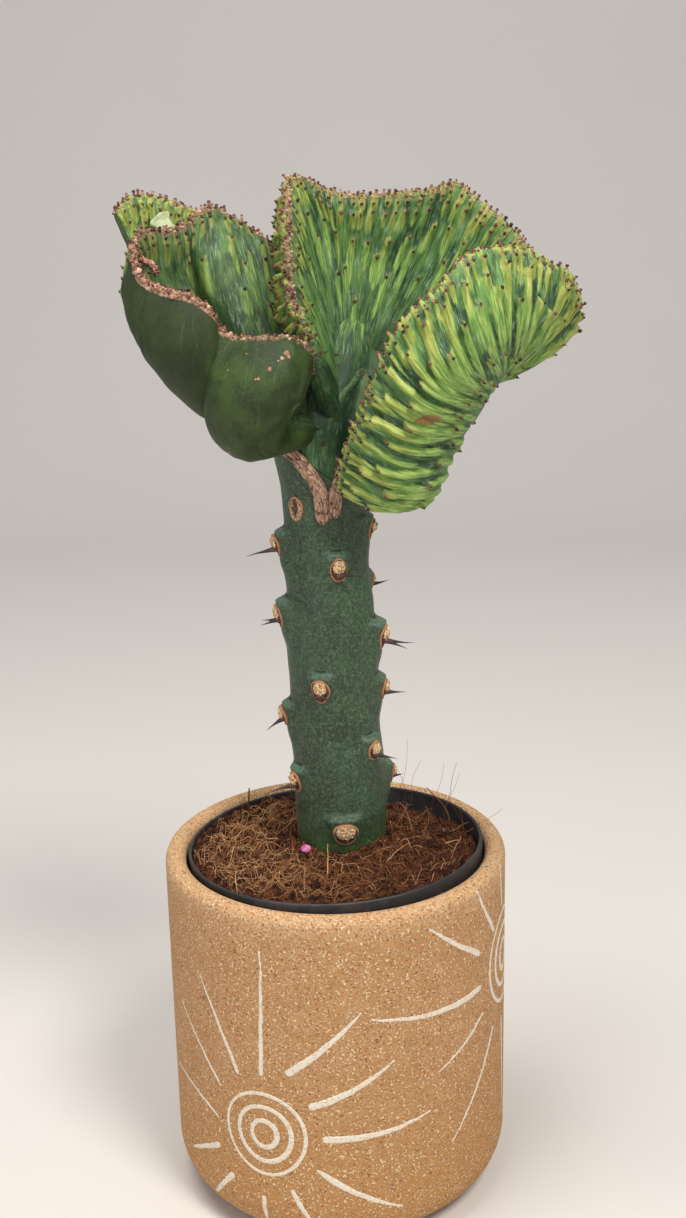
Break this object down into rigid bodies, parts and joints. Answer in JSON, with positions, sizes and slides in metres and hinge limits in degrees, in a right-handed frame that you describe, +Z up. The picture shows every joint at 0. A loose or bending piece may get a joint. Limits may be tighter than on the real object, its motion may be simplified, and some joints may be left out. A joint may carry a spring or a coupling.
{
  "type": "potted crested euphorbia",
  "caption": "Grafted crested succulent: a fan-shaped ruffled crest on an upright spined stem, in coir in a nursery pot inside a round-footed clay cover pot painted with suns.",
  "frame": {"origin": "centre of the cover pot's flat foot, on the surface that it stands on", "axes": "+Z up along the cover pot's axis, -Y towards the side that the picture shows, +X to its right"},
  "size_m": [0.1841, 0.1492, 0.439],
  "materials": {
    "clay": "matte",
    "black_plastic": "satin",
    "coir": "matte",
    "stem_skin": "satin",
    "cork": "matte",
    "crest_skin": "satin",
    "prill": "satin"
  },
  "bodies": {
    "root": {"cover_pot": "clay", "nursery_pot": "black_plastic", "coir_soil": "coir", "rootstock": "stem_skin", "graft_callus": "cork", "crest": "crest_skin", "pink_prill": "prill"}
  },
  "joints": []
}
